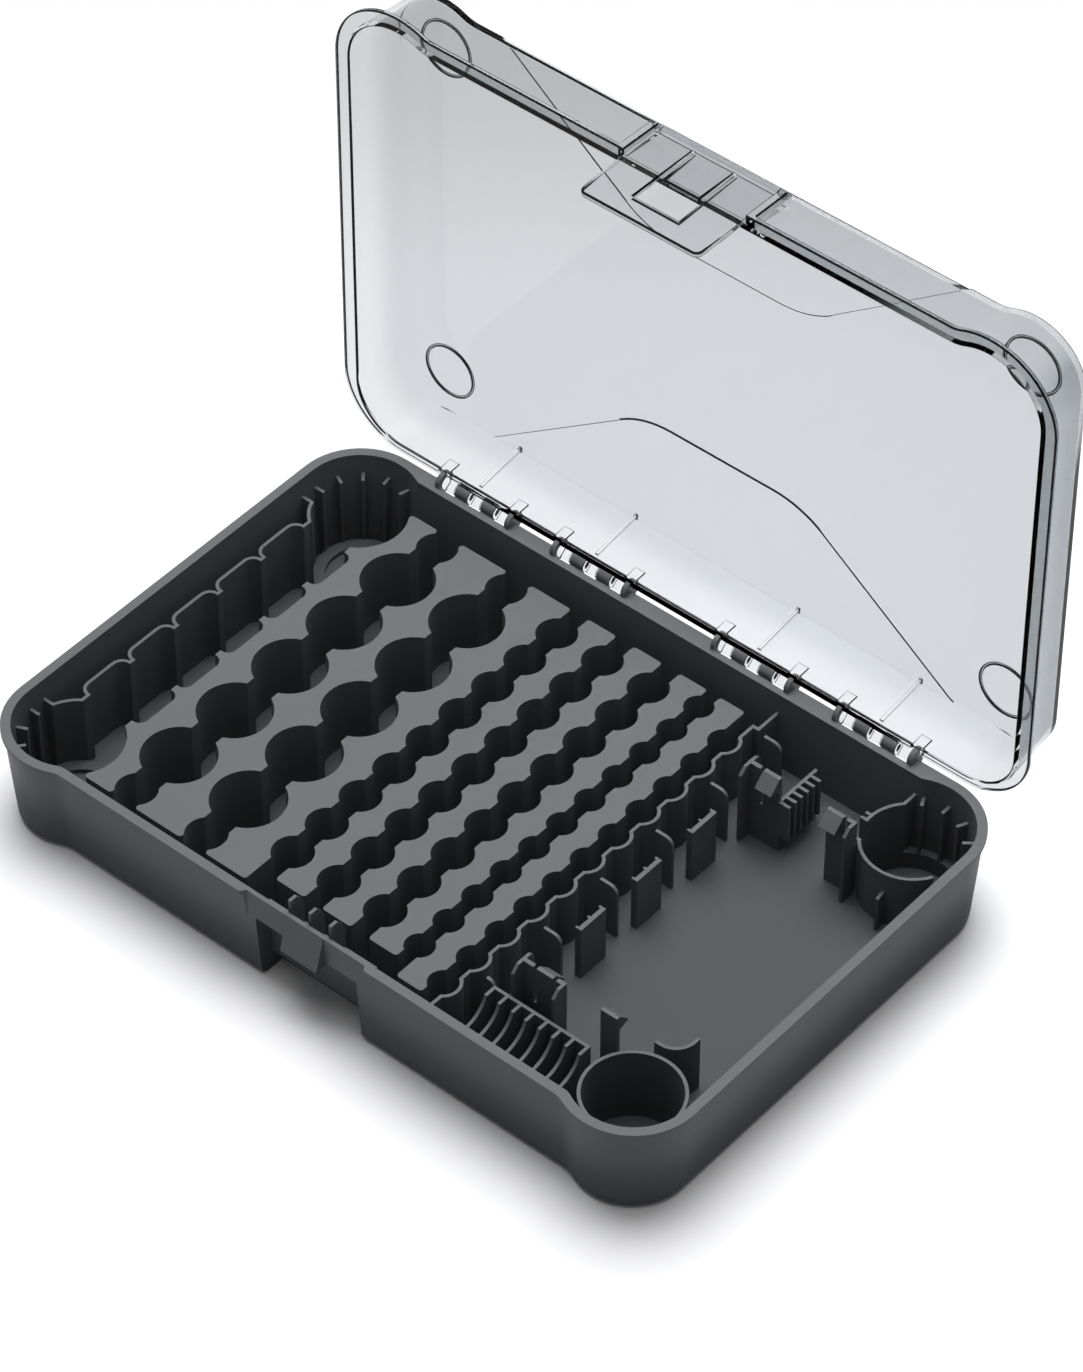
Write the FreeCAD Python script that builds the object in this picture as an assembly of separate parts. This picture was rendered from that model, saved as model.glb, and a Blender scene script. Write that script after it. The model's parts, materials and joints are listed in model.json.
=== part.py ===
import FreeCAD, Part
import math
import os

from FreeCAD import Vector

os.makedirs("parts", exist_ok=True)

# Battery storage case with a clear lid that stands open, all sizes in millimetres.
# x runs along the case, y runs from the latch to the hinges, z is up.
# The origin is the middle of the underside.

# Outline of the tray seen from above
case_length = 320.0
lobe_radius = 27.2
lobe_y = 78.6
straight_y = 102.3
front_blend = 12.0
inner_blend = 4.0
side_rim = 3.8
back_wall_in = 3.3

# Heights and walls of the tray
tray_height = 44.0
lip_height = 1.8
lip_overhang = 1.1
wall_draft = 3.1
inner_draft = 2.9
foot_round = 4.0
floor_top = 2.0
cell_drop = 8.7
skin = 1.5
fin = 1.3
root = 0.5

# Block of wells for round cells; columns are placed from the left end
slab_end = 90.7
slab_corner = 1.4
latch_side_end = 83.7
c_columns_in = (62.2, 96.6)
c_radius = 14.55
c_pitch = 30.3
c_count = 5
c_neck = 12.0
c_end_radius = 8.15
c_end_y = 83.2
aa_columns_in = (126.5, 148.7, 170.8)
aa_radius = 8.1
aa_pitch = 18.4
aa_count = 9
aa_middle_y = 3.8
aa_neck = 8.4
aaa_columns_in = (191.25, 209.1)
aaa_radius = 5.87
aaa_pitch = 15.64
aaa_count = 11
aaa_middles_y = (3.7, -4.2)
aaa_neck = 6.1
core_web = 1.6
core_radius = 5.2

# Pockets for square cells, on the left
square_left_in = 11.8
square_right_in = 41.3
square_width = 21.0
square_pitch = 24.1
square_corner = 3.8
square_cusp = 4.4
square_count = 5
aisle_overlap = 3.3

# Wells for the largest cells, in the corner lobes
d_radius = 18.9
d_rib_reach = 18.3
d_rib_pitch = 26.0
d_ledge = 2.0
d_ledge_radius = 14.2
d_wall_end_y = 72.1
d_slot_length = 10.9
d_slot_width = 4.2
cup_radius = 18.2
cup_slot_from = 186.0
cup_slot_to = 219.0
cup_slot_end = 332.0
cup_high_from = 134.6
cup_jog = 4.0
spur_reach = 3.4
spur_gap = 2.9
cup_rib_angle = -82.0
cup_rib_reach = 4.6
cup_rib_drop = 8.8

# Bay for the loose things; its fittings are placed from the last column of wells
bay_floor = 10.0
bay_skin = 2.0
bay_left_in = 6.9
bay_front_in = 4.3
plate_in = 10.1
plate_reach = 8.0
plate_pitch = 31.25
plate_first_y = -70.4
plate_count = 6
plate_corner = 3.5
screen_in = 19.4
screen_skin = 1.8
screen_length = 13.9
screen_middles_y = (-25.1, 6.2, 37.5)
screen_rib = 1.0
comb_in = 15.4
comb_pitch = 6.13
comb_count = 8
comb_spine_y = -72.4
comb_land = 5.0
comb_drop = 7.8
hook_y = 63.5
hook_rise = 3.0
hook_in = (27.8, 57.1)
hook_width = 7.4
hook_skin = 1.7
hook_nose = 5.0
hook_slit = 1.5
slit_foot = 15.0
blade_ahead = 6.2
blade_behind = 5.2
blade_bevel = 3.0
post_in = 21.2
flange_in = 12.6
rack_in = 35.2
rack_length = 22.2
rack_pitch = 3.53
rack_count = 6
rack_reach = 4.9
rack_drop = 17.5
fence_before = 9.2
fence_y = -55.2
fence_straight = 2.3
fence_radius = 8.5
fence_tail = 2.4

# Latch station in the front wall
station_half = 28.0
station_depth = 1.0
station_slant = 1.5
pocket_half = 24.0
pocket_drop = 12.1
pocket_depth = 8.9
pocket_back_foot = 8.5
pocket_relief = 5.0
catch_half = 8.6
catch_tip = 4.3
catch_drop = 14.6
catch_root = 1.7
ridge_pitch = 9.6
ridge_reach = 8.2
ridge_rise = 5.0
ridge_setback = 0.9
ridge_flat = 3.5
ridge_slope = 3.0

# Hinges
hinge_y = 105.5
hinge_rise = 0.9
stations_x = (-96.2, -39.0, 39.0, 96.2)
knuckle_pitch = 6.4
knuckle_radius = 3.0
pin_radius = 1.5
pin_clearance = 0.1
side_clearance = 0.3
ear_radius = 4.3
ear_skin = 2.0
notch_depth = 3.9
hook_mouth = 2.2
arm_drop = 0.4

# Lid
lid_gap = 0.15
lid_overhang = 3.0
lid_back = 103.1
lid_back_in = 99.6
lid_corner = 25.1
flange_skin = 2.0
lid_skin = 1.6
dome_height = 25.6
dome_draft = 2.0
step_depth = 0.8
step_y = 45.4
step_flat = 37.3
step_round = 40.0
step_front_reach = 121.0
step_back_reach = 128.0
ring_radius = 12.3
ring_skin = 1.4
ring_height = 0.8
rib_skin = 1.6
rib_foot = 0.7
rib_head = 2.6
window_height = 7.0
window_clearance = 1.2
swing_clearance = 0.4
open_angle = 90.0

# Latch; heights are taken down from its pivot
latch_half = 26.9
latch_skin = 2.4
latch_face = 101.0
pivot_rise = 19.8
latch_length = 44.8
latch_barrel = 1.9
latch_pin_radius = 1.3
latch_pin_reach = 2.2
latch_hole_clearance = 0.25
latch_corner = 3.0
latch_window_half = 10.1
window_foot_drop = 34.6
window_top_drop = 21.3
tongue_slit = 1.6
tongue_top_drop = 2.6
cheek_skin = 3.4
cheek_gap = 0.4
cheek_wall = 1.2
stop_gap = 0.1

# Sizes that follow from the ones above
left_end = -case_length / 2
lobe_x = case_length / 2 - lobe_radius
back_y = lobe_y + lobe_radius
side_in = case_length / 2 - side_rim
front_in = straight_y - side_rim
back_in = straight_y - back_wall_in
lip_foot = tray_height - lip_height
cell_top = tray_height - cell_drop
wall_face = straight_y - lip_overhang
c_columns = [left_end + reach for reach in c_columns_in]
aa_columns = [left_end + reach for reach in aa_columns_in]
aaa_columns = [left_end + reach for reach in aaa_columns_in]
square_left = left_end + square_left_in
square_right = left_end + square_right_in
bay_edge = aaa_columns[-1]
bay_left = bay_edge + bay_left_in
bay_front_left = bay_edge + bay_front_in
plate_x = bay_edge + plate_in
screen_x = bay_edge + screen_in
comb_left = bay_edge + comb_in
hooks_x = [bay_edge + reach for reach in hook_in]
post_x = bay_edge + post_in
rack_x = bay_edge + rack_in
hook_top = tray_height + hook_rise
stand_foot = bay_floor - bay_skin / 2
fence_left = lobe_x - fence_before
pocket_top = tray_height - pocket_drop
station_wall = wall_face - station_depth
catch_foot = tray_height - catch_drop
hinge_z = tray_height + hinge_rise
ear_offset = 2.5 * knuckle_pitch + side_clearance + ear_skin / 2
lid_foot = tray_height + lid_gap
lid_inner_top = lid_foot + dome_height
lid_top = lid_inner_top + lid_skin
latch_pivot = tray_height + pivot_rise
latch_axis_y = -(latch_face + latch_skin / 2)


def box(x0, x1, y0, y1, z0, z1):
    return Part.makeBox(x1 - x0, y1 - y0, z1 - z0, Vector(x0, y0, z0))


def post(x, y, radius, z0, z1):
    return Part.makeCylinder(radius, z1 - z0, Vector(x, y, z0))


def ring(x, y, radius, wall, z0, z1):
    return post(x, y, radius + wall, z0, z1).cut(post(x, y, radius, z0, z1))


def across(x0, x1, y, z, radius):
    # Round bar along x
    return Part.makeCylinder(radius, x1 - x0, Vector(x0, y, z), Vector(1, 0, 0))


def prism(points, direction):
    # Solid with a straight-edged outline
    corners = [Vector(*point) for point in points]
    return Part.Face(Part.makePolygon(corners + corners[:1])).extrude(Vector(*direction))


def plate_along_x(profile, x, thickness):
    # Plate with a (y, z) profile, centred on x
    return prism([(x - thickness / 2, y, z) for y, z in profile], (thickness, 0, 0))


def joined(shapes):
    return shapes[0].multiFuse(shapes[1:])


def upright_edges(shape):
    return [e for e in shape.Edges if abs(e.tangentAt(e.FirstParameter).z) > 0.9]


def corner_edges(centre, radius, straight, blend, sign_x, sign_y, z):
    # A quarter of an outline: straight edge, hollow blend, round lobe
    def spot(x, y):
        return Vector(sign_x * x, sign_y * y, z)

    def round_edge(cx, cy, r, start, end):
        angles = [math.radians(a) for a in (start, (start + end) / 2, end)]
        return Part.Arc(*[spot(cx + r * math.cos(a), cy + r * math.sin(a)) for a in angles]).toShape()

    cx, cy = centre
    bulge = cy + radius - straight
    start = 90.0
    line_end = cx
    edges = []
    if bulge > 0.05:
        drop = straight + blend - cy
        shift = math.sqrt((radius + blend) ** 2 - drop ** 2)
        start = math.degrees(math.atan2(drop, -shift))
        line_end = cx - shift
        edges.append(round_edge(line_end, straight + blend, blend, -90.0, start - 180.0))
    edges.append(round_edge(cx, cy, radius, start, 0.0))
    edges.append(Part.makeLine(spot(0, straight), spot(line_end, straight)))
    edges.append(Part.makeLine(spot(cx + radius, cy), spot(cx + radius, 0)))
    return edges


def outline(front, back, z):
    # Closed outline; front and back are (lobe centre, lobe radius, straight edge, blend)
    edges = []
    for sign_x in (1, -1):
        edges += corner_edges(*front, sign_x, -1, z)
        edges += corner_edges(*back, sign_x, 1, z)
    return Part.Wire(Part.__sortEdges__(edges))


def lobed(inset, z, straight=straight_y, back_straight=None, blend=front_blend):
    # The tray's own outline, moved inward by inset
    centre = (lobe_x, lobe_y)
    front = (centre, lobe_radius - inset, straight - inset, blend + inset)
    back = front
    if back_straight is not None:
        back = (centre, lobe_radius - inset, back_straight - inset, blend + inset)
    return outline(front, back, z)


def inner_outline(inset, z):
    # The inside of the tray's walls, moved inward by inset
    centre = (lobe_x, lobe_y)
    radius = lobe_radius - side_rim - inset
    front = (centre, radius, front_in - inset, inner_blend + side_rim + inset)
    back = (centre, radius, back_in - inset, inner_blend + inset)
    return outline(front, back, z)


def between(wires):
    return Part.makeLoft(wires, True, True)


def prism_of(wire, height):
    return Part.Face(wire).extrude(Vector(0, 0, height))


def wells(x, centres, radius, neck, y0, y1, z0, z1):
    # A column of round wells joined by a narrower neck
    shapes = [box(x - neck / 2, x + neck / 2, y0, y1, z0, z1)]
    shapes += [post(x, y, radius, z0, z1) for y in centres]
    return joined(shapes)


def spaced(middle, pitch, count):
    return [middle + pitch * (i - (count - 1) / 2) for i in range(count)]


def c_column(x, z0, z1):
    reach = slab_end + 1
    shape = wells(x, spaced(0, c_pitch, c_count), c_radius, c_neck, -reach, reach, z0, z1)
    ends = [post(x, y, c_end_radius, z0, z1) for y in (-c_end_y, c_end_y)]
    return joined([shape] + ends)


def aa_column(x, z0, z1):
    reach = slab_end + 1
    centres = spaced(aa_middle_y, aa_pitch, aa_count)
    return wells(x, centres, aa_radius, aa_neck, -reach, reach, z0, z1)


def aaa_column(i, wall, z0, z1):
    reach = slab_end + 1
    centres = spaced(aaa_middles_y[i], aaa_pitch, aaa_count)
    return wells(aaa_columns[i], centres, aaa_radius + wall, aaa_neck + 2 * wall, -reach, reach, z0, z1)


def round_columns(z0, z1):
    columns = [c_column(x, z0, z1) for x in c_columns]
    columns += [aa_column(x, z0, z1) for x in aa_columns]
    columns += [aaa_column(i, 0, z0, z1) for i in range(len(aaa_columns))]
    return columns


def square_pocket(y, wall, z0, z1):
    half = square_width / 2 + wall
    pocket = box(square_left - wall, square_right + wall, y - half, y + half, z0, z1)
    return pocket.makeFillet(square_corner + wall, upright_edges(pocket))


def left_hollow(wall, z0, z1):
    # Square pockets, the gap that joins them and the two largest wells beside them
    aisle_end = lobe_y - d_radius + aisle_overlap
    shapes = [square_pocket(y, wall, z0, z1) for y in spaced(0, square_pitch, square_count)]
    aisle = (square_left + square_cusp - wall, square_right - square_cusp + wall)
    shapes.append(box(aisle[0], aisle[1], -aisle_end, aisle_end, z0, z1))
    shapes += [post(-lobe_x, y, d_radius + wall, z0, z1) for y in (-lobe_y, lobe_y)]
    return joined(shapes)


def end_corners(shape):
    # Upright edges at the ends of the block
    edges = []
    for edge in upright_edges(shape):
        x, y = edge.CenterOfMass.x, edge.CenterOfMass.y
        on_end = abs(abs(y) - slab_end) < 0.01 or abs(y + latch_side_end) < 0.01
        if on_end and x < bay_edge - 1:
            edges.append(edge)
    return edges


def cell_block():
    left = square_right - square_cusp - 1
    block = box(left, bay_edge, -slab_end, slab_end, 0, cell_top)
    block = block.cut(box(aa_columns[0], aaa_columns[0], -slab_end - 1, -latch_side_end, -1, cell_top + 1))
    for hollow in round_columns(-1, cell_top + 1) + [left_hollow(0, -1, cell_top + 1)]:
        block = block.cut(hollow)
    return block.makeFillet(slab_corner, end_corners(block))


def block_cores():
    # The block is moulded with an even wall, so each island between two columns is hollow from beneath
    edges = [(square_right, square_right)]
    edges += [(x - c_radius, x + c_radius) for x in c_columns]
    edges += [(x - aa_radius, x + aa_radius) for x in aa_columns]
    edges += [(x - aaa_radius, x + aaa_radius) for x in aaa_columns]
    roof = cell_top - skin
    end = latch_side_end - skin
    cores = []
    for before, after in zip(edges, edges[1:]):
        cores.append(box(before[1] + skin, after[0] - skin, -end, end, -1, roof))
    middle = sum(c_columns) / 2
    cores += [post(middle, y, core_radius, -1, roof) for y in spaced(0, c_pitch, c_count - 1)]
    core = joined(cores)
    for y in spaced(0, 2 * c_pitch, 3):
        core = core.cut(box(left_end, -left_end, y - core_web / 2, y + core_web / 2, -2, roof + 1))
    return core


def tray_shell():
    # Drafted outside of the tray with a rounded foot, still solid
    wall = between([lobed(lip_overhang + wall_draft, 0), lobed(lip_overhang, lip_foot)])
    foot = [e for e in wall.Edges if e.BoundBox.ZMax < 0.01]
    return wall.makeFillet(foot_round, foot)


def left_thin_wall():
    span_right = square_left + 2 * square_cusp
    span = box(square_left - 2 * square_cusp, span_right, -d_wall_end_y, d_wall_end_y, 0, cell_top)
    wall = left_hollow(fin, 0, cell_top).cut(left_hollow(0, -1, cell_top + 1)).common(span)
    shapes = [wall]
    end_x = -lobe_x - math.sqrt(d_radius ** 2 - (lobe_y - d_wall_end_y) ** 2)
    for side in (-1, 1):
        y = side * (d_wall_end_y - fin / 2)
        shapes.append(box(-side_in - root, end_x, y - fin / 2, y + fin / 2, 0, cell_top))
    return joined(shapes)


def scalloped_wall():
    x = bay_edge
    back_end = slab_end - 2 * skin
    limit = box(x, x + aaa_radius + fin, -slab_end, back_end, 0, cell_top)
    wall = aaa_column(1, fin, 0, cell_top).common(limit).cut(aaa_column(1, 0, -1, cell_top + 1))
    front = box(bay_front_left - fin, bay_front_left, -front_in - root, -slab_end + root, 0, cell_top)
    back = box(bay_left - fin, bay_left, back_end - root, back_in + root, 0, cell_top)
    bridge = box(x + aaa_neck / 2, bay_left, back_end - fin, back_end, 0, cell_top)
    step = box(x + aaa_neck / 2, bay_front_left, -slab_end, -slab_end + fin, 0, cell_top)
    return joined([wall, front, back, bridge, step])


def radial_rib(x, y, angle, inner, outer, foot, top):
    rib = box(inner, outer, -fin / 2, fin / 2, foot, top)
    rib.rotate(Vector(0, 0, 0), Vector(0, 0, 1), angle)
    rib.translate(Vector(x, y, 0))
    return rib


def lobe_ribs():
    reach = lobe_radius - side_rim + root
    ribs = []
    for side in (-1, 1):
        for angle in spaced(180 - 2 * d_rib_pitch, d_rib_pitch, 5):
            ribs.append(radial_rib(-lobe_x, side * lobe_y, side * angle, d_rib_reach, reach, 0, cell_top))
        ledge = ring(-lobe_x, side * lobe_y, d_ledge_radius, reach - d_ledge_radius, 0, floor_top + d_ledge)
        outer_half = box(-side_in - 1, -lobe_x + d_radius, 0, back_y, 0, tray_height)
        if side < 0:
            outer_half = outer_half.mirror(Vector(0, 0, 0), Vector(0, 1, 0))
        ribs.append(ledge.common(outer_half).common(post(-lobe_x, side * lobe_y, d_radius, -1, tray_height)))
    for angle in spaced(90 - d_rib_pitch / 2, d_rib_pitch, 4):
        ribs.append(radial_rib(lobe_x, lobe_y, angle, d_rib_reach, reach, 0, cell_top))
    return ribs


def cup_arc(x, y, start, end):
    whole = ring(x, y, cup_radius, fin, 0, cell_top)
    far = 3 * cup_radius
    middle = (start + end) / 2
    points = [(x, y, -1)]
    for angle in [math.radians(a) for a in (start, middle, end)]:
        points.append((x + far * math.cos(angle), y + far * math.sin(angle), -1))
    return whole.common(prism(points, (0, 0, tray_height + 2)))


def on_cup(angle):
    turn = math.radians(angle)
    return lobe_x + cup_radius * math.cos(turn), lobe_y + cup_radius * math.sin(turn)


def right_cups():
    shapes = [ring(lobe_x, -lobe_y, cup_radius, fin, 0, cell_top)]
    shapes.append(ring(lobe_x, lobe_y, cup_radius, fin, 0, bay_floor))
    shapes.append(cup_arc(lobe_x, lobe_y, cup_slot_to, cup_slot_end))
    shapes.append(cup_arc(lobe_x, lobe_y, cup_high_from, cup_slot_from))
    x, y = on_cup(cup_slot_to)
    shapes.append(box(x - cup_jog, x, y - fin / 2, y + fin / 2, 0, cell_top))
    x, y = on_cup(cup_high_from)
    shapes.append(box(x - fin, x, y, back_in + root, 0, cell_top))
    x, y = on_cup(cup_slot_from)
    for spur_y in (y, y + spur_gap):
        shapes.append(box(x - spur_reach, x, spur_y - fin / 2, spur_y + fin / 2, stand_foot, cell_top))
    outer = cup_radius + fin + cup_rib_reach
    rib_top = cell_top - cup_rib_drop
    shapes.append(radial_rib(lobe_x, lobe_y, cup_rib_angle, cup_radius + fin / 2, outer, stand_foot, rib_top))
    return shapes


def bay_plates():
    plates = []
    for i in range(plate_count):
        y = plate_first_y + i * plate_pitch
        reach = plate_reach if i else comb_left - plate_x - fin
        plate = box(plate_x, plate_x + reach, y - fin / 2, y + fin / 2, stand_foot, cell_top)
        edge = [e for e in plate.Edges
                if abs(e.CenterOfMass.x - plate_x - reach) < 0.01
                and abs(e.CenterOfMass.z - cell_top) < 0.01
                and abs(e.tangentAt(e.FirstParameter).y) > 0.9]
        plates.append(plate.makeFillet(plate_corner, edge))
    return plates


def bay_screens():
    screens = []
    half = screen_length / 2
    for y in screen_middles_y:
        screens.append(box(screen_x, screen_x + screen_skin, y - half, y + half, stand_foot, cell_top))
        for rib_y in (y - half, y - screen_rib / 2, y + half - screen_rib):
            rib = box(screen_x - screen_rib, screen_x, rib_y, rib_y + screen_rib, stand_foot, cell_top)
            screens.append(rib)
    return screens


def coin_comb():
    # Fins that hold button cells on edge; each dips in a hollow curve towards the front wall
    last = comb_left + comb_pitch * (comb_count - 1)
    spine_y = comb_spine_y + fin / 2
    fins = [box(comb_left - fin / 2, last + fin / 2, comb_spine_y - fin / 2, spine_y, stand_foot, cell_top)]
    land = comb_spine_y - comb_land
    wall = -front_in - root
    low_z = cell_top - comb_drop
    for i in range(comb_count):
        x = comb_left + i * comb_pitch - fin / 2
        foot, top, crest = [Vector(x, y, z) for y, z in
                            ((comb_spine_y, stand_foot), (comb_spine_y, cell_top), (land, cell_top))]
        low = Vector(x, land - 1.6 * comb_drop, low_z)
        bend = Vector(x, land - 0.5 * comb_drop, low_z + 0.29 * comb_drop)
        wall_low, wall_foot = Vector(x, wall, low_z), Vector(x, wall, stand_foot)
        edges = [Part.makeLine(foot, top), Part.makeLine(top, crest), Part.Arc(crest, bend, low).toShape()]
        edges += [Part.makeLine(low, wall_low), Part.makeLine(wall_low, wall_foot)]
        edges.append(Part.makeLine(wall_foot, foot))
        fins.append(Part.Face(Part.Wire(edges)).extrude(Vector(fin, 0, 0)))
    return fins


def blade(x, y0, y1, rounded):
    # Tall plate beside a hook: bevelled towards the front, rounded towards the back where it runs free
    profile = [(y0, stand_foot), (y0, hook_top - blade_bevel), (y0 + blade_bevel, hook_top),
               (y1, hook_top), (y1, stand_foot)]
    shape = plate_along_x(profile, x, fin)
    if rounded:
        top = [e for e in shape.Edges
               if abs(e.CenterOfMass.y - y1) < 0.01 and abs(e.CenterOfMass.z - hook_top) < 0.01]
        shape = shape.makeFillet(blade_bevel, top)
    return shape


def hook(hook_x, side, with_post, with_flange):
    # Springy finger with a sloped nose, cut free by slits from the wall that carries it
    near, far = hook_y + hook_skin / 2, hook_y - hook_skin / 2
    right = hook_x + hook_width
    wall_left = post_x if with_post else hook_x
    wall_right = hook_x + flange_in if with_flange else right
    y0, y1 = sorted((side * near, side * far))
    wall = box(wall_left, wall_right, y0, y1, stand_foot, hook_top)
    slit_z = hook_top - hook_rise - slit_foot
    if with_post:
        wall = wall.cut(box(hook_x - hook_slit, hook_x, y0 - 1, y1 + 1, slit_z, hook_top + 1))
    if with_flange:
        wall = wall.cut(box(right, right + hook_slit, y0 - 1, y1 + 1, slit_z, hook_top + 1))
    tip_z = hook_top - hook_nose
    profile = [(side * far, hook_top), (side * (far - hook_nose), tip_z), (side * far, tip_z - hook_skin)]
    shapes = [wall, plate_along_x(profile, hook_x + hook_width / 2, hook_width)]
    middle = side * hook_y
    if with_post:
        shapes.append(blade(post_x, middle - blade_ahead, middle + blade_behind, True))
    if with_flange:
        shapes.append(blade(wall_right - fin / 2, middle - blade_ahead, middle + hook_skin / 2, False))
    return shapes


def hooks():
    shapes = hook(hooks_x[0], -1, True, True) + hook(hooks_x[1], -1, False, False)
    return shapes + hook(hooks_x[0], 1, True, False) + hook(hooks_x[1], 1, False, True)


def coin_rack():
    # Comb of short fins on a spine that runs back from the hook's wall
    front = hook_y - hook_skin / 2
    shapes = [box(rack_x - fin / 2, rack_x + fin / 2, front, front + rack_length, stand_foot, cell_top)]
    for i in range(rack_count):
        y = front + i * rack_pitch
        shapes.append(box(rack_x, rack_x + rack_reach, y, y + fin, cell_top - rack_drop, cell_top))
    return shapes


def corner_fence():
    corner_x = fence_left + fence_straight
    start = box(fence_left, corner_x, fence_y - fin / 2, fence_y + fin / 2, stand_foot, cell_top)
    centre_y = fence_y + fence_radius
    bend = ring(corner_x, centre_y, fence_radius - fin / 2, fin, stand_foot, cell_top)
    bend = bend.common(box(corner_x, corner_x + 2 * fence_radius, fence_y - fin, centre_y, 0, cell_top))
    end_x = corner_x + fence_radius
    tail = box(end_x - fin / 2, end_x + fin / 2, centre_y, centre_y + fence_tail, stand_foot, cell_top)
    return [start, bend, tail]


def bay_solids():
    # Raised floor with what stands on it; the two right wells go down to the tray's own floor
    low = bay_floor - bay_skin
    plate = box(bay_front_left - fin, side_in, -front_in - root, back_in + root, low, bay_floor)
    for y in (-lobe_y, lobe_y):
        plate = plate.cut(post(lobe_x, y, cup_radius, 0, tray_height))
    shapes = [plate] + bay_plates() + bay_screens() + coin_comb() + hooks() + coin_rack()
    return shapes + corner_fence() + right_cups()


def bay_relief():
    # Hollow under the raised floor, open from beneath
    reach = lip_overhang + wall_draft + foot_round + skin
    hollow = prism_of(lobed(reach, -1), bay_floor - bay_skin + 1)
    hollow = hollow.common(box(bay_edge + aaa_radius + fin, side_in, -back_y, back_y, -1, bay_floor))
    for y in (-lobe_y, lobe_y):
        hollow = hollow.cut(post(lobe_x, y, cup_radius + fin, -2, bay_floor))
    return hollow


def latch_station():
    # What is added and what is cut at the front wall
    face = -station_wall
    box_back = -(wall_face - pocket_depth)
    relief_back = box_back + pocket_relief
    half = pocket_half + skin
    pocket_wall = box(-half, half, -front_in - root, box_back + skin, 0, pocket_top + skin)
    raised = box(-half, half, -front_in - root, relief_back + skin, 0, pocket_back_foot + skin)
    inner = -(front_in - ridge_setback)
    reach = -(front_in - ridge_reach)
    top = tray_height + ridge_rise
    profile = [(-front_in - root, pocket_top), (-front_in - root, lip_foot), (inner, lip_foot), (inner, top),
               (inner + ridge_flat, top), (reach - skin, top - ridge_slope), (reach, top - 2 * ridge_slope),
               (reach, pocket_top)]
    ridges = [plate_along_x(profile, i * ridge_pitch, fin) for i in (-1, 0, 1)]
    catch_profile = [(face, tray_height), (face - catch_tip, catch_foot),
                     (face + catch_root, catch_foot), (face + catch_root, tray_height)]
    catch = plate_along_x(catch_profile, 0, 2 * catch_half)
    outer = station_half + station_slant
    recess_points = [(-outer, -case_length, -1), (-outer, -straight_y, -1), (-station_half, face, -1),
                     (station_half, face, -1), (outer, -straight_y, -1), (outer, -case_length, -1)]
    recess = prism(recess_points, (0, 0, tray_height + 2))
    pocket = box(-pocket_half, pocket_half, -case_length, box_back, -1, pocket_top)
    relief = box(-pocket_half, pocket_half, box_back - 1, relief_back, -1, pocket_back_foot)
    return [pocket_wall, raised], ridges, [recess, pocket, relief], catch


def hinge_spans(centre):
    # Middles of the tray's two knuckles, the lid's three knuckles and the ears
    tray_knuckles = [centre + i * knuckle_pitch for i in (-1, 1)]
    lid_knuckles = [centre + i * knuckle_pitch for i in (-2, 0, 2)]
    ears = [centre + i * ear_offset for i in (-1, 1)]
    return tray_knuckles, lid_knuckles, ears


def tray_hinge(centre):
    tray_knuckles, _, ears = hinge_spans(centre)
    arm_y = back_in + root
    solids = []
    for x in ears:
        disc = across(x - ear_skin / 2, x + ear_skin / 2, hinge_y, hinge_z, ear_radius)
        arm = box(x - ear_skin / 2, x + ear_skin / 2, arm_y, hinge_y, lip_foot - ear_skin, tray_height)
        solids.append(disc.fuse(arm))
    bore = pin_radius + pin_clearance
    half = knuckle_pitch / 2 - side_clearance / 2
    for x in tray_knuckles:
        knuckle = across(x - half, x + half, hinge_y, hinge_z, knuckle_radius)
        arm = box(x - half, x + half, arm_y, hinge_y, hinge_z - knuckle_radius, tray_height - arm_drop)
        hook_shape = knuckle.fuse(arm).cut(across(x - half - 1, x + half + 1, hinge_y, hinge_z, bore))
        mouth = box(x - half - 1, x + half + 1, hinge_y, hinge_y + 2 * knuckle_radius,
                    hinge_z - hook_mouth / 2, hinge_z + hook_mouth / 2)
        solids.append(hook_shape.cut(mouth))
    reach = ear_offset - ear_skin / 2
    notch_y = back_y - notch_depth
    notch = box(centre - reach, centre + reach, notch_y, back_y + 1, lip_foot - 1, tray_height + 1)
    return notch, solids


def build_tray():
    shell = tray_shell()
    lip = prism_of(lobed(0, lip_foot, back_straight=back_y), lip_height)
    room = between([inner_outline(inner_draft, floor_top), inner_outline(0, tray_height)])
    stations, ridges, cuts, catch = latch_station()
    inner_walls = [cell_block(), left_thin_wall(), scalloped_wall()] + lobe_ribs() + bay_solids() + stations
    trim = shell.fuse(box(-side_in, side_in, -front_in, back_in, lip_foot, hook_top + 1))
    inside = joined(inner_walls).common(trim)
    body = shell.fuse(lip).cut(room).multiFuse([inside] + ridges)
    for cut in cuts:
        body = body.cut(cut)
    hinges = []
    for centre in stations_x:
        notch, solids = tray_hinge(centre)
        body = body.cut(notch)
        hinges += solids
    body = body.multiFuse(hinges + [catch])
    body = body.cut(block_cores()).cut(bay_relief())
    slot_y = lobe_y - d_radius / 4
    slot = box(-lobe_x - d_slot_length / 2, -lobe_x + d_slot_length / 2,
               slot_y - d_slot_width / 2, slot_y + d_slot_width / 2, -1, floor_top + 1)
    return body.cut(slot).removeSplitter()


def lid_outline(grow, back, z):
    # The lid follows the tray's front lobes and has plain round corners at the hinges
    front_part = ((lobe_x, lobe_y), lobe_radius + grow, straight_y + grow, front_blend - grow)
    radius = lid_corner + grow
    back_part = ((case_length / 2 - lid_corner, back - radius), radius, back, front_blend)
    return outline(front_part, back_part, z)


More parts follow.
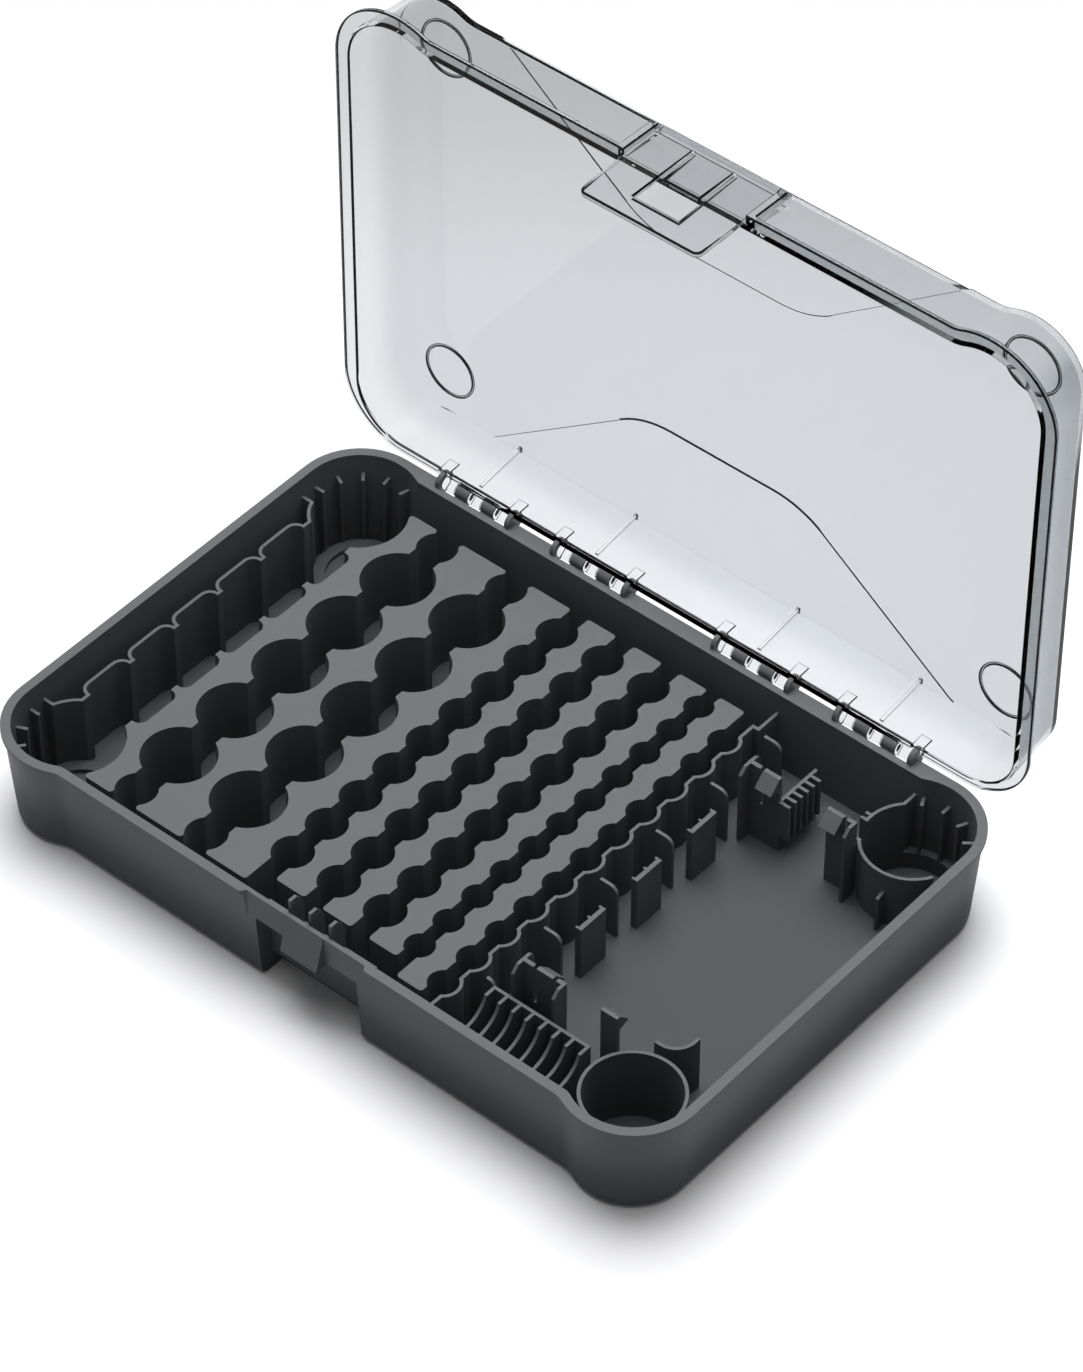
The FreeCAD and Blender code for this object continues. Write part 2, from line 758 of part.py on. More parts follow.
def dome(wall, z0, z1):
    # Drafted block; wall is the distance from the inner face at the mouth
    mouth = lid_outline(wall - side_rim, lid_back_in + wall, z0)
    roof = lid_outline(wall - side_rim - dome_draft, lid_back_in + wall - dome_draft, z1)
    return between([mouth, roof])


def step_trapezoid(edge_y, reach, side):
    # Sunken field of the top panel; the corners of its slants are rounded
    y0 = side * step_y
    y1 = side * edge_y
    points = [(-step_flat, y0, lid_top - step_depth), (step_flat, y0, lid_top - step_depth),
              (reach, y1, lid_top - step_depth), (-reach, y1, lid_top - step_depth)]
    field = prism(points, (0, 0, 2 * step_depth))
    corners = [e for e in upright_edges(field) if abs(e.CenterOfMass.y - y0) < 0.01]
    return field.makeFillet(step_round, corners)


def lid_cheeks():
    # Uprights beside the latch that hold its pins; they narrow from the flange to the pivot
    front = -(straight_y + lid_overhang)
    back = -front_in + root
    nose = latch_axis_y - latch_pin_radius - cheek_wall
    top = latch_pivot + latch_pin_radius + cheek_wall
    profile = [(front, lid_foot), (front, lid_foot + flange_skin), (nose, latch_pivot),
               (latch_axis_y, top), (back, top), (back, lid_foot)]
    offset = latch_half + cheek_gap + cheek_skin / 2
    return [plate_along_x(profile, side * offset, cheek_skin) for side in (-1, 1)]


def lid_closed():
    flange = prism_of(lid_outline(lid_overhang, lid_back, lid_foot), flange_skin)
    outer = dome(lid_skin, lid_foot, lid_top)
    hollow = dome(0, lid_foot, lid_inner_top)
    lid = flange.fuse(outer)
    past = 2 * lid_corner
    for edge_y, reach, side in ((front_in + past, step_front_reach + past, -1),
                                (back_in + past, step_back_reach + past, 1)):
        lid = lid.cut(step_trapezoid(edge_y, reach, side))
    opening = box(-latch_half - cheek_gap, latch_half + cheek_gap, -case_length, -latch_face + stop_gap,
                  lid_foot - 1, lid_foot + flange_skin + 1)
    lid = lid.cut(opening).multiFuse(lid_cheeks()).cut(hollow)
    pin_hole = latch_pin_radius + latch_hole_clearance
    reach = latch_half + latch_pin_reach + latch_hole_clearance
    lid = lid.cut(across(-reach, reach, latch_axis_y, latch_pivot, pin_hole))
    feet = [ring(x, y, ring_radius - ring_skin, ring_skin, lid_top - lid_skin / 2, lid_top + ring_height)
            for x in (-lobe_x, lobe_x) for y in (-lobe_y, lobe_y)]
    return lid.multiFuse(feet)


def lid_hinge(centre):
    tray_knuckles, lid_knuckles, ears = hinge_spans(centre)
    half = knuckle_pitch / 2 - side_clearance / 2
    solids = [across(x - half, x + half, hinge_y, hinge_z, knuckle_radius) for x in lid_knuckles]
    reach = 2.5 * knuckle_pitch - side_clearance / 2
    solids.append(across(centre - reach, centre + reach, hinge_y, hinge_z, pin_radius))
    ear_front = hinge_y - ear_radius - window_clearance
    wide = ear_skin / 2 + window_clearance
    windows = [box(x - wide, x + wide, ear_front, lid_back + 1, lid_foot - 1, lid_foot + window_height)
               for x in ears]
    swing = knuckle_radius + swing_clearance
    for x in tray_knuckles:
        windows.append(box(x - knuckle_pitch / 2, x + knuckle_pitch / 2, hinge_y - swing, lid_back + 1,
                           lid_foot - 1, hinge_z + swing))
    foot_y = lid_back_in
    head_y = lid_back_in - dome_draft
    profile = [(foot_y + root, lid_foot + flange_skin), (foot_y - rib_foot, lid_foot + flange_skin),
               (head_y - rib_head, lid_inner_top), (head_y + root, lid_inner_top)]
    solids.append(plate_along_x(profile, centre, rib_skin))
    return solids, windows


def opened(shape):
    shape.rotate(Vector(0, hinge_y, hinge_z), Vector(1, 0, 0), -open_angle)
    return shape


def build_lid():
    lid = lid_closed()
    solids = []
    for centre in stations_x:
        knuckles, windows = lid_hinge(centre)
        solids += knuckles
        lid = lid.cut(joined(windows))
    return opened(lid.multiFuse(solids).removeSplitter())


def build_latch():
    front = -latch_face - latch_skin
    foot_z = latch_pivot - latch_length
    plate = box(-latch_half, latch_half, front, -latch_face, foot_z, latch_pivot)
    foot = [e for e in plate.Edges
            if abs(e.tangentAt(e.FirstParameter).y) > 0.9 and abs(e.CenterOfMass.z - foot_z) < 0.01]
    plate = plate.makeFillet(latch_corner, foot)
    barrel = across(-latch_half, latch_half, latch_axis_y, latch_pivot, latch_barrel)
    reach = latch_half + latch_pin_reach
    pin = across(-reach, reach, latch_axis_y, latch_pivot, latch_pin_radius)
    window_top = latch_pivot - window_top_drop
    window = box(-latch_window_half, latch_window_half, front - 1, -latch_face + 1,
                 latch_pivot - window_foot_drop, window_top)
    cuts = [window]
    for side in (-1, 1):
        x = side * (latch_window_half - tongue_slit / 2)
        cuts.append(box(x - tongue_slit / 2, x + tongue_slit / 2, front - 1, -latch_face + 1,
                        window_top, latch_pivot - tongue_top_drop))
    return opened(plate.multiFuse([barrel, pin]).cut(joined(cuts)).removeSplitter())


for name, shape in (("tray", build_tray()), ("lid", build_lid()), ("latch", build_latch())):
    print(name, len(shape.Solids), round(shape.Volume), shape.isValid(), shape.BoundBox)
    shape.exportStep("parts/" + name + ".step")
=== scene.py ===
import json
import math

import bmesh
import bpy
from mathutils import Matrix, Quaternion, Vector


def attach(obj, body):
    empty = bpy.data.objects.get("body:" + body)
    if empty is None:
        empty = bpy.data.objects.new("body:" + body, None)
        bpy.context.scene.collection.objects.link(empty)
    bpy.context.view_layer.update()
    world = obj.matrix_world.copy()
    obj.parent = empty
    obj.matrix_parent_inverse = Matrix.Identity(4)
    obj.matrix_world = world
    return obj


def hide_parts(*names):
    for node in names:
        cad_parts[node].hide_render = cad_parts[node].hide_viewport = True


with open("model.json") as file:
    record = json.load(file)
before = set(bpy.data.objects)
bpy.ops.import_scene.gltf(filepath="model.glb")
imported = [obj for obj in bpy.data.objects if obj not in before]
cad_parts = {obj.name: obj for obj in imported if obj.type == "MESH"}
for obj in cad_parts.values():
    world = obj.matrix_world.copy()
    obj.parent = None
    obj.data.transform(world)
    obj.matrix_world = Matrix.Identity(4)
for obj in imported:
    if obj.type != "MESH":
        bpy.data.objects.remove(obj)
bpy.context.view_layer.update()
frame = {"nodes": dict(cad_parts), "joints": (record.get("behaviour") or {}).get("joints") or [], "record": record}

record = frame["record"]
print("frame loaded:", ", ".join(sorted(frame["nodes"])))


# Small helpers for node trees

def newMaterial(name):
    material = bpy.data.materials.new(name)
    material.use_nodes = True
    nodes = material.node_tree.nodes
    return material, nodes, material.node_tree.links, nodes["Principled BSDF"]


def addNode(nodes, kind, **values):
    node = nodes.new(kind)
    for key, value in values.items():
        setattr(node, key, value)
    return node


def smoothStep(nodes, links, source, limits):
    # Rises gently from 0 at the first limit to 1 at the second
    step = addNode(nodes, "ShaderNodeMapRange", interpolation_type="SMOOTHSTEP")
    step.inputs["From Min"].default_value = limits[0]
    step.inputs["From Max"].default_value = limits[1]
    links.new(source, step.inputs["Value"])
    return step.outputs["Result"]


def mixedColour(nodes, links, factor, first, second):
    # Each colour is a fixed value or another node's output
    mix = addNode(nodes, "ShaderNodeMix", data_type="RGBA")
    links.new(factor, mix.inputs["Factor"])
    for socket, colour in ((mix.inputs["A"], first), (mix.inputs["B"], second)):
        if isinstance(colour, tuple):
            socket.default_value = colour
        else:
            links.new(colour, socket)
    return mix.outputs["Result"]


# Fine moulding grain, shared by the dark and the clear plastic

mouldingGrain = {
    "fineDetail": 2.0,
    "bumpDistance": 0.0001,
    "broadScale": 22.0,  # slow drift over the moulding
    "broadDetail": 3.0,
}


def makeGrainGroup():
    group = bpy.data.node_groups.new("mouldingGrain", "ShaderNodeTree")
    face = group.interface
    for name in ("Scale", "Depth", "Roughness Low", "Roughness High"):
        face.new_socket(name, in_out="INPUT", socket_type="NodeSocketFloat")
    for name in ("Roughness", "Mottle"):
        face.new_socket(name, in_out="OUTPUT", socket_type="NodeSocketFloat")
    face.new_socket("Normal", in_out="OUTPUT", socket_type="NodeSocketVector")
    nodes = group.nodes
    links = group.links
    start = nodes.new("NodeGroupInput")
    end = nodes.new("NodeGroupOutput")
    place = nodes.new("ShaderNodeTexCoord")
    fine = addNode(nodes, "ShaderNodeTexNoise", noise_dimensions="3D")
    fine.inputs["Detail"].default_value = mouldingGrain["fineDetail"]
    broad = addNode(nodes, "ShaderNodeTexNoise", noise_dimensions="3D")
    broad.inputs["Scale"].default_value = mouldingGrain["broadScale"]
    broad.inputs["Detail"].default_value = mouldingGrain["broadDetail"]
    spread = nodes.new("ShaderNodeMapRange")
    bump = nodes.new("ShaderNodeBump")
    bump.inputs["Distance"].default_value = mouldingGrain["bumpDistance"]
    links.new(place.outputs["Object"], fine.inputs["Vector"])
    links.new(place.outputs["Object"], broad.inputs["Vector"])
    links.new(start.outputs["Scale"], fine.inputs["Scale"])
    links.new(broad.outputs["Fac"], spread.inputs["Value"])
    links.new(start.outputs["Roughness Low"], spread.inputs["To Min"])
    links.new(start.outputs["Roughness High"], spread.inputs["To Max"])
    links.new(fine.outputs["Fac"], bump.inputs["Height"])
    links.new(start.outputs["Depth"], bump.inputs["Strength"])
    links.new(spread.outputs["Result"], end.inputs["Roughness"])
    links.new(broad.outputs["Fac"], end.inputs["Mottle"])
    links.new(bump.outputs["Normal"], end.inputs["Normal"])
    return group


grainGroup = makeGrainGroup()


def placeGrain(nodes, finish):
    grain = addNode(nodes, "ShaderNodeGroup", node_tree=grainGroup)
    grain.inputs["Scale"].default_value = finish["grainScale"]
    grain.inputs["Depth"].default_value = finish["grainDepth"]
    grain.inputs["Roughness Low"].default_value = finish["roughness"][0]
    grain.inputs["Roughness High"].default_value = finish["roughness"][1]
    return grain


# Dark satin plastic of the tray; on its low floors painted shade darkens the colour, and the finish is duller
# there

darkPlastic = {
    "light": (0.078, 0.081, 0.086, 1.0),
    "deep": (0.066, 0.069, 0.074, 1.0),
    "lowPaintedShade": (0.70, 0.70, 0.70, 1.0),  # painted shade: how much of the colour the low floors keep
    "noPaintedShade": (1.0, 1.0, 1.0, 1.0),
    "rise": (0.008, 0.034),  # heights between which the low floors' painted shade and duller finish end
    "lowRoughness": 0.78,
    "roughness": (0.50, 0.60),
    "shine": 0.40,
    "grainScale": 2600.0,
    "grainDepth": 0.25,
}


def makeDarkPlastic():
    material, nodes, links, shader = newMaterial("darkPlastic")
    grain = placeGrain(nodes, darkPlastic)
    place = nodes.new("ShaderNodeTexCoord")
    height = nodes.new("ShaderNodeSeparateXYZ")
    links.new(place.outputs["Object"], height.inputs["Vector"])
    rise = smoothStep(nodes, links, height.outputs["Z"], darkPlastic["rise"])
    tint = mixedColour(nodes, links, grain.outputs["Mottle"], darkPlastic["deep"], darkPlastic["light"])
    # painted shade: the low floors keep only part of the colour, darker towards the bottom
    share = mixedColour(nodes, links, rise, darkPlastic["lowPaintedShade"], darkPlastic["noPaintedShade"])
    shade = addNode(nodes, "ShaderNodeMix", data_type="RGBA", blend_type="MULTIPLY")
    shade.inputs["Factor"].default_value = 1.0
    links.new(tint, shade.inputs["A"])
    links.new(share, shade.inputs["B"])
    links.new(shade.outputs["Result"], shader.inputs["Base Color"])
    gloss = addNode(nodes, "ShaderNodeMix", data_type="FLOAT")
    gloss.inputs["A"].default_value = darkPlastic["lowRoughness"]
    links.new(rise, gloss.inputs["Factor"])
    links.new(grain.outputs["Roughness"], gloss.inputs["B"])
    links.new(gloss.outputs["Result"], shader.inputs["Roughness"])
    links.new(grain.outputs["Normal"], shader.inputs["Normal"])
    shader.inputs["Specular IOR Level"].default_value = darkPlastic["shine"]
    return material


# Clear plastic of the lid and latch: polished, a little grey, with painted light on its level upper sides, painted
# shade where seen at a slant, and painted near-black shade along its edges where light is trapped

clearPlastic = {
    "panel": (0.525, 0.543, 0.557, 1.0),
    "wall": (0.64, 0.655, 0.665, 1.0),
    # painted light: level sides high up are tinted paler
    "top": (0.84, 0.845, 0.85, 1.0),
    "panelDepth": (0.112, 0.128),  # from the flange's wall back to the panel
    "topHeight": (0.10, 0.17),
    "facingUp": (0.5, 0.9),  # how level a side is to take the painted light of the upper sides
    # painted shade where a side is seen at a slant
    "paintedSlantShade": (0.30, 0.305, 0.31, 1.0),
    "slant": (0.88, 0.99),  # how far a side turns from the eye to take that painted shade
    # painted shade: near black on the rounded edges, where light is trapped in the clear plastic
    "edge": (0.0002, 0.0002, 0.0003, 1.0),
    "ior": 1.16,
    "lampShare": (0.95, 0.95, 0.955, 1.0),  # lamp light that each wall lets through
    "roughness": (0.015, 0.035),
    "grainScale": 90.0,
    "grainDepth": 0.02,
}


def clearTint(nodes, links):
    # The panel is the greyest, and painted light makes the level sides high up the palest
    place = nodes.new("ShaderNodeTexCoord")
    spot = nodes.new("ShaderNodeSeparateXYZ")
    facing = nodes.new("ShaderNodeSeparateXYZ")
    upright = addNode(nodes, "ShaderNodeMath", operation="ABSOLUTE")
    high = addNode(nodes, "ShaderNodeMath", operation="MULTIPLY")
    links.new(place.outputs["Object"], spot.inputs["Vector"])
    links.new(place.outputs["Normal"], facing.inputs["Vector"])
    links.new(facing.outputs["Z"], upright.inputs[0])
    links.new(smoothStep(nodes, links, upright.outputs[0], clearPlastic["facingUp"]), high.inputs[0])
    links.new(smoothStep(nodes, links, spot.outputs["Z"], clearPlastic["topHeight"]), high.inputs[1])
    deep = smoothStep(nodes, links, spot.outputs["Y"], clearPlastic["panelDepth"])
    body = mixedColour(nodes, links, deep, clearPlastic["wall"], clearPlastic["panel"])
    return mixedColour(nodes, links, high.outputs[0], body, clearPlastic["top"])


def tintClear(nodes, links, shader):
    # Painted shade: greyer where the plastic is seen at a slant
    facing = nodes.new("ShaderNodeLayerWeight")
    facing.inputs["Blend"].default_value = 0.5  # an even rise from face-on to edge-on
    slant = smoothStep(nodes, links, facing.outputs["Facing"], clearPlastic["slant"])
    tint = mixedColour(nodes, links, slant, clearTint(nodes, links), clearPlastic["paintedSlantShade"])
    links.new(tint, shader.inputs["Base Color"])


def makeClearPlastic(name, dark):
    material, nodes, links, shader = newMaterial(name)
    grain = placeGrain(nodes, clearPlastic)
    if dark:
        # painted shade: the outline copy is near black
        shader.inputs["Base Color"].default_value = clearPlastic["edge"]
    else:
        tintClear(nodes, links, shader)
    links.new(grain.outputs["Roughness"], shader.inputs["Roughness"])
    links.new(grain.outputs["Normal"], shader.inputs["Normal"])
    shader.inputs["Transmission Weight"].default_value = 1.0
    shader.inputs["IOR"].default_value = clearPlastic["ior"]
    lampLight = nodes.new("ShaderNodeLightPath")  # lamps shine through the clear walls
    through = nodes.new("ShaderNodeBsdfTransparent")
    through.inputs["Color"].default_value = clearPlastic["lampShare"]
    choose = nodes.new("ShaderNodeMixShader")
    links.new(lampLight.outputs["Is Shadow Ray"], choose.inputs["Fac"])
    links.new(shader.outputs["BSDF"], choose.inputs[1])
    links.new(through.outputs["BSDF"], choose.inputs[2])
    links.new(choose.outputs["Shader"], nodes["Material Output"].inputs["Surface"])
    return material


darkMaterial = makeDarkPlastic()
clearMaterial = makeClearPlastic("clearPlastic", False)
paintedEdgeMaterial = makeClearPlastic("clearPlasticPaintedEdge", True)
print("materials made")


# Shells: copies of the frame's solids with softened edges

jointPlace = {joint["name"]: Vector(joint["pos_m"]) for joint in frame["joints"]}

cleaning = {
    "weld": 0.000004,  # points closer than this become one
    "flat": 0.6,  # degrees below which faces are joined to one
    "evenWeight": 100,
}


def bodyOf(nodeName):
    bodies = record["behaviour"]["bodies"]
    return next(name for name, nodes in bodies.items() if nodeName in nodes)


def softenedCopy(nodeName, settings):
    source = frame["nodes"][nodeName]
    mesh = source.data.copy()
    mesh.name = nodeName + "Shell"
    mesh.materials.clear()
    for material in settings["materials"]:
        mesh.materials.append(material)
    shape = bmesh.new()
    shape.from_mesh(mesh)
    for face in shape.faces:
        face.material_index = 0
    bmesh.ops.remove_doubles(shape, verts=shape.verts, dist=cleaning["weld"])
    bmesh.ops.dissolve_limit(shape, angle_limit=math.radians(cleaning["flat"]),
                             verts=shape.verts, edges=shape.edges)
    if "line" in settings:
        roundClearEdges(shape, settings)
    shape.to_mesh(mesh)
    shape.free()
    mesh.shade_smooth()
    piece = bpy.data.objects.new(nodeName + "Shell", mesh)
    bpy.context.scene.collection.objects.link(piece)
    if "width" in settings:
        addSoftEdge(piece, settings)
    even = piece.modifiers.new("evenShading", "WEIGHTED_NORMAL")  # flat faces stay flat
    even.mode = "FACE_AREA"
    even.weight = cleaning["evenWeight"]
    even.keep_sharp = True
    evaluated = piece.evaluated_get(bpy.context.evaluated_depsgraph_get())
    finished = bpy.data.meshes.new_from_object(evaluated)
    piece.modifiers.clear()
    piece.data = finished
    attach(piece, bodyOf(nodeName))
    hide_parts(nodeName)
    print(nodeName, "softened:", len(finished.polygons), "faces")
    return piece


# Tray: one small rounding on every sharp edge

trayShell = {
    "sharp": 32.0,  # degrees between two faces from which their edge is rounded
    "width": 0.0003,
    "segments": 2,
    "materials": [darkMaterial],
}


def addSoftEdge(piece, settings):
    bevel = piece.modifiers.new("softEdge", "BEVEL")
    bevel.width = settings["width"]
    bevel.segments = settings["segments"]
    bevel.limit_method = "ANGLE"
    bevel.angle_limit = math.radians(settings["sharp"])
    bevel.use_clamp_overlap = True
    bevel.miter_outer = "MITER_ARC"


softenedCopy("tray", trayShell)


# Lid and latch: rounded edges whose near-black material paints the outlines as painted shade

lidShell = {
    "sharp": 32.0,
    "round": 0.0009,  # clear corner between the panel and its walls
    "crown": 0.0006,  # outer corner of the panel beside the latch, painted dark as painted shade
    "line": 0.0006,  # painted-shade dark outlines of the large parts
    "thin": 0.0003,  # painted-shade dark outlines where there is less room
    "fine": 0.00015,  # painted-shade outlines of the knuckles and pins
    "segments": 3,
    "fineSegments": 2,
    "materials": [clearMaterial, paintedEdgeMaterial],
}

latchShell = {
    "sharp": 32.0,
    "round": 0.0006,
    "crown": 0.0006,
    "line": 0.0007,
    "thin": 0.0003,
    "fine": 0.00015,
    "segments": 3,
    "fineSegments": 2,
    "materials": [clearMaterial, paintedEdgeMaterial],
}

clearEdges = {
    "stations": (-0.0962, -0.0390, 0.0390, 0.0962),  # the hinges along the case
    "stationReach": 0.0205,
    "knuckleReach": 0.0046,
    "hingeReach": 0.0085,  # takes in the openings for the tray's ears too
    "hingeSide": 0.052,  # the lid's lowest side when it stands open
    "pivotReach": 0.0034,
    "roofStart": 0.0240,  # how far behind the hinges the panel's inner face lies
    "outerRoof": 0.0252,  # and its outer face
    "crownHeight": 0.20,
    "crownProfile": 0.85,  # 0.5 is round, 1 is square
    "roundProfile": 0.5,
    "slope": (0.03, 0.2),  # least and greatest lean of the dome's walls
    "along": 0.9,  # from here a face or an edge counts as in line with an axis
    "room": 1.3,  # widths of the rounding that a side needs
}

clearSlot, paintedEdgeSlot = 0, 1


def behindHinge(place):
    return place.y - jointPlace["lid_hinge"].y


def nearJoint(middle, reach):
    # The knuckles, hooks and pins have small edges of their own
    hinge = jointPlace["lid_hinge"]
    pivot = jointPlace["latch_pivot"]
    atStation = min(abs(middle.x - x) for x in clearEdges["stations"]) < clearEdges["stationReach"]
    closeToHinge = (middle.yz - hinge.yz).length < reach
    closeToPivot = (middle.yz - pivot.yz).length < clearEdges["pivotReach"]
    return (atStation and closeToHinge) or closeToPivot


def onHingeSide(edge, middle):
    # The flange's edge that lies along the hinges
    line = edge.verts[1].co - edge.verts[0].co
    return middle.z < clearEdges["hingeSide"] and abs(line.x) > clearEdges["along"] * line.length


def onRoof(edge, middle):
    # Where a sloping side wall meets the panel
    low, high = clearEdges["slope"]
    sloping = any(low < abs(face.normal.y) < high for face in edge.link_faces)
    flat = any(abs(face.normal.y) > clearEdges["along"] for face in edge.link_faces)
    return sloping and flat and behindHinge(middle) > clearEdges["roofStart"]


def onCrown(middle):
    # The outer corner of the panel on the side of the latch
    return behindHinge(middle) > clearEdges["outerRoof"] and middle.z > clearEdges["crownHeight"]


def outlined(edge, middle):
    # Outer edges, but not what is left of the corner between panel and walls
    return edge.is_convex and (onCrown(middle) or not onRoof(edge, middle))


def longOutline(edge, middle):
    apart = not nearJoint(middle, clearEdges["hingeReach"])
    return outlined(edge, middle) and not onHingeSide(edge, middle) and apart


def shortOutline(edge, middle):
    return outlined(edge, middle) and not nearJoint(middle, clearEdges["knuckleReach"])


def sharpEdges(shape, sharp, wanted):
    found = []
    for edge in shape.edges:
        if len(edge.link_faces) == 2 and edge.calc_face_angle(0) > math.radians(sharp):
            middle = (edge.verts[0].co + edge.verts[1].co) / 2
            if wanted(edge, middle):
                found.append(edge)
    return found


def withRoom(edges, width):
    # Leaves out edges that end on a side too short for the rounding
    kept = set(edges)
    crowded = True
    while crowded:
        crowded = [edge for edge in kept
                   if any(side not in kept and side.calc_length() < clearEdges["room"] * width
                          for corner in edge.verts for side in corner.link_edges)]
        kept.difference_update(crowded)
    return [edge for edge in edges if edge in kept]


def roundEdges(shape, settings, kind, wanted, slot, segments, profile=clearEdges["roundProfile"]):
    width = settings[kind]
    edges = withRoom(sharpEdges(shape, settings["sharp"], wanted), width)
    if edges:
        bmesh.ops.bevel(shape, geom=edges, offset=width, offset_type="OFFSET", segments=segments,
                        profile=profile, affect="EDGES", clamp_overlap=False, material=slot,
                        miter_outer="ARC")
    return kind + " " + str(len(edges))


def paintStepShade(shape):
    # Painted shade: the sides of the panel's steps and rings are painted near black, where they trap the light too
    for face in shape.faces:
        raised = min(behindHinge(corner.co) for corner in face.verts) > clearEdges["outerRoof"]
        if raised and abs(face.normal.y) < clearEdges["slope"][0]:
            face.material_index = paintedEdgeSlot


def roundClearEdges(shape, settings):
    # The widest roundings come first, and each later kind takes what they leave
    segments = settings["segments"]
    counts = [
        roundEdges(shape, settings, "crown", lambda edge, middle: onRoof(edge, middle) and onCrown(middle),
                   paintedEdgeSlot, segments, clearEdges["crownProfile"]),
        roundEdges(shape, settings, "round", onRoof, clearSlot, segments),
        roundEdges(shape, settings, "thin", onRoof, clearSlot, segments),
    ]
    paintStepShade(shape)
    counts += [
        roundEdges(shape, settings, "line", longOutline, paintedEdgeSlot, segments),
        roundEdges(shape, settings, "thin", shortOutline, paintedEdgeSlot, segments),
        roundEdges(shape, settings, "fine", outlined, paintedEdgeSlot, settings["fineSegments"]),
    ]
    for edge in sharpEdges(shape, settings["sharp"], lambda edge, middle: True):
        edge.smooth = False
    print("edges rounded:", ", ".join(counts))


softenedCopy("lid", lidShell)
softenedCopy("latch", latchShell)


# Studio: pale floor, soft lamps, white surroundings

studio = {
    "floorHalf": 4.0,
    "floorColour": (0.905, 0.905, 0.915, 1.0),  # as the camera sees it
    "floorBounce": (0.40, 0.40, 0.41, 1.0),  # as it lights the case
    "floorRoughness": 0.9,
    "fade": (0.30, 0.48),  # plain white beyond the reach of the case's shadow
    "worldColour": (0.97, 0.98, 1.0, 1.0),
    "worldStrength": 0.14,
    "white": (1.0, 1.0, 1.0, 1.0),
    "keyPlace": (-0.34, 0.42, 1.85),
    "keySize": 1.7,
    "keyPower": 41.0,
    "fillPlace": (0.15, -0.1, 2.3),
    "fillSize": 1.8,
    "fillPower": 17.0,
}


def seenDirectly(nodes, links):
    # 1 for camera, mirror and see-through rays
    path = nodes.new("ShaderNodeLightPath")
    first = addNode(nodes, "ShaderNodeMath", operation="MAXIMUM")
    second = addNode(nodes, "ShaderNodeMath", operation="MAXIMUM")
    links.new(path.outputs["Is Camera Ray"], first.inputs[0])
    links.new(path.outputs["Is Glossy Ray"], first.inputs[1])
    links.new(first.outputs[0], second.inputs[0])
    links.new(path.outputs["Is Transmission Ray"], second.inputs[1])
    return second.outputs[0]


def makeFloor():
    half = studio["floorHalf"]
    mesh = bpy.data.meshes.new("studioFloor")
    corners = [(-half, -half, 0), (half, -half, 0), (half, half, 0), (-half, half, 0)]
    mesh.from_pydata(corners, [], [(0, 1, 2, 3)])
    floor = bpy.data.objects.new("studioFloor", mesh)
    bpy.context.scene.collection.objects.link(floor)
    material, nodes, links, shader = newMaterial("paleFloor")
    shader.inputs["Roughness"].default_value = studio["floorRoughness"]
    shader.inputs["Specular IOR Level"].default_value = 0.0
    pale = mixedColour(nodes, links, seenDirectly(nodes, links), studio["floorBounce"], studio["floorColour"])
    links.new(pale, shader.inputs["Base Color"])
    place = nodes.new("ShaderNodeTexCoord")
    away = addNode(nodes, "ShaderNodeVectorMath", operation="LENGTH")
    share = addNode(nodes, "ShaderNodeMath", operation="MULTIPLY")
    white = nodes.new("ShaderNodeEmission")
    choose = nodes.new("ShaderNodeMixShader")
    links.new(place.outputs["Object"], away.inputs[0])
    links.new(smoothStep(nodes, links, away.outputs["Value"], studio["fade"]), share.inputs[0])
    links.new(seenDirectly(nodes, links), share.inputs[1])
    links.new(share.outputs[0], choose.inputs["Fac"])
    links.new(shader.outputs["BSDF"], choose.inputs[1])
    links.new(white.outputs["Emission"], choose.inputs[2])
    links.new(choose.outputs["Shader"], nodes["Material Output"].inputs["Surface"])
    mesh.materials.append(material)


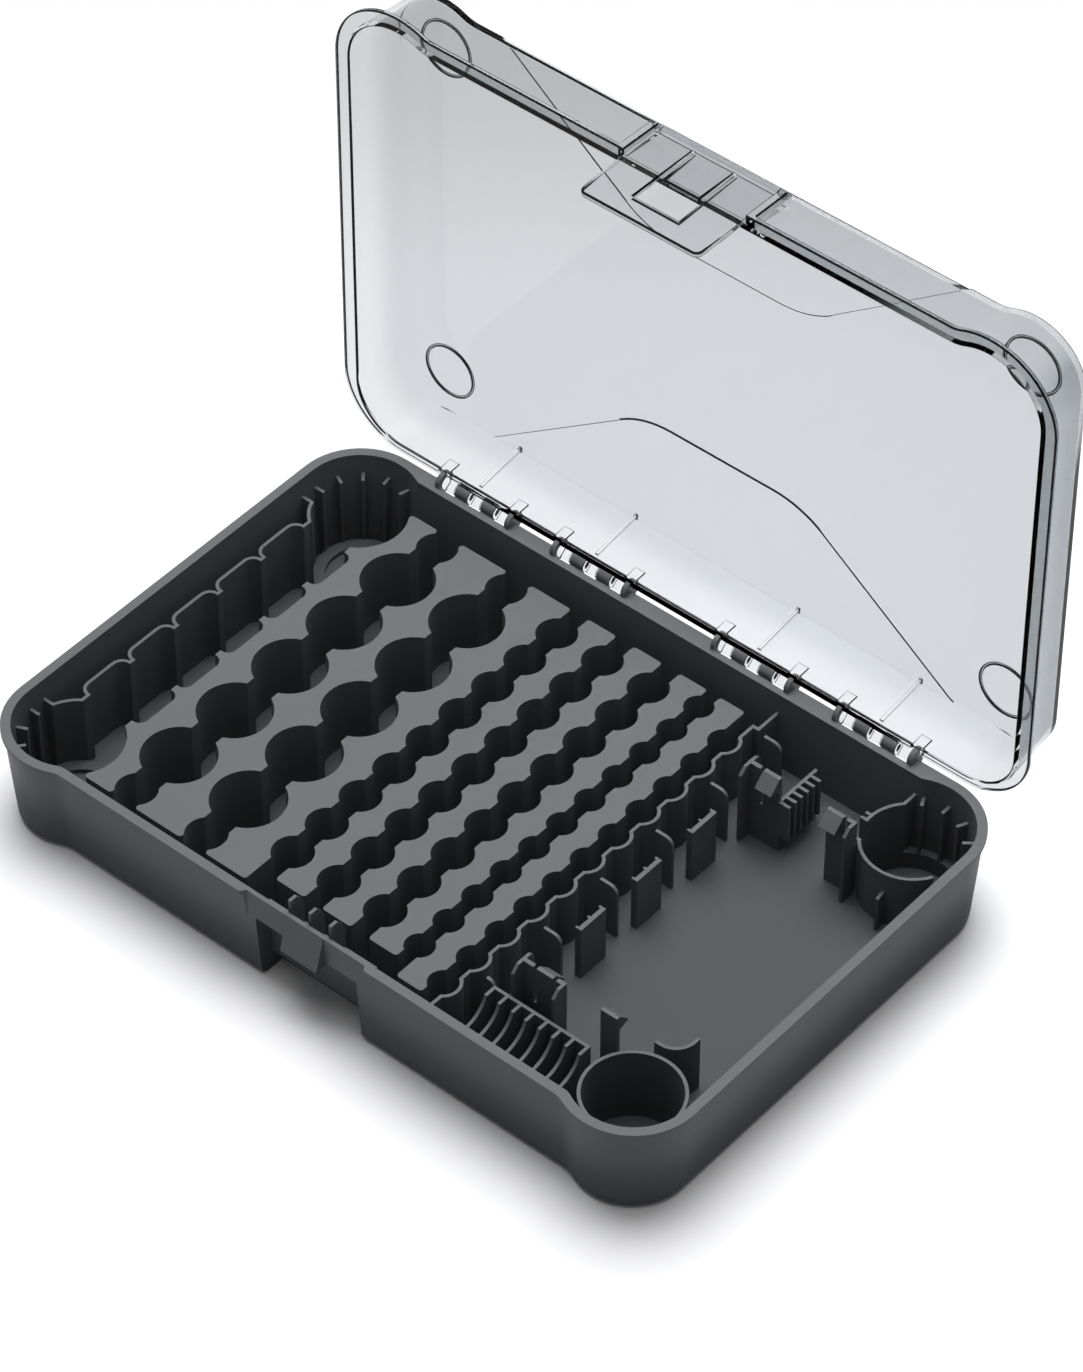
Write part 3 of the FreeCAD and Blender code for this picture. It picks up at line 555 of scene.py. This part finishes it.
def makeWorld():
    world = bpy.data.worlds.new("softRoom")
    bpy.context.scene.world = world
    world.use_nodes = True
    nodes = world.node_tree.nodes
    links = world.node_tree.links
    room = nodes["Background"]
    room.inputs["Color"].default_value = studio["worldColour"]
    room.inputs["Strength"].default_value = studio["worldStrength"]
    white = nodes.new("ShaderNodeBackground")
    white.inputs["Color"].default_value = studio["white"]
    white.inputs["Strength"].default_value = 1.0
    choose = nodes.new("ShaderNodeMixShader")
    links.new(seenDirectly(nodes, links), choose.inputs["Fac"])
    links.new(room.outputs["Background"], choose.inputs[1])
    links.new(white.outputs["Background"], choose.inputs[2])
    links.new(choose.outputs["Shader"], nodes["World Output"].inputs["Surface"])


def addSoftbox(name, place, size, power):
    lamp = bpy.data.lights.new(name, "AREA")
    lamp.shape = "DISK"
    lamp.size = size
    lamp.energy = power
    holder = bpy.data.objects.new(name, lamp)
    holder.location = place
    holder.rotation_euler = (-Vector(place)).to_track_quat("-Z", "Y").to_euler()
    bpy.context.scene.collection.objects.link(holder)


makeFloor()
makeWorld()
addSoftbox("keyLamp", studio["keyPlace"], studio["keySize"], studio["keyPower"])
addSoftbox("fillLamp", studio["fillPlace"], studio["fillSize"], studio["fillPower"])
print("studio lit")


# Camera at the photograph's viewpoint

view = {
    "place": (0.97297, -1.12149, 1.57555),
    "aim": (0.00053, 0.02837, 0.067),
    "roll": 0.118,
    "lens": 195.5,
    "sensor": 36.0,
    "reach": 50.0,
}


def makeCamera():
    data = bpy.data.cameras.new("photoCamera")
    data.sensor_fit = "HORIZONTAL"
    data.sensor_width = view["sensor"]
    data.lens = view["lens"]
    data.clip_end = view["reach"]
    camera = bpy.data.objects.new("photoCamera", data)
    bpy.context.scene.collection.objects.link(camera)
    look = Vector(view["aim"]) - Vector(view["place"])
    turn = look.to_track_quat("-Z", "Y") @ Quaternion((0, 0, 1), math.radians(view["roll"]))
    camera.matrix_world = Matrix.Translation(view["place"]) @ turn.to_matrix().to_4x4()
    bpy.context.scene.camera = camera


makeCamera()
bpy.context.scene.view_settings.view_transform = "Standard"
print("camera set")
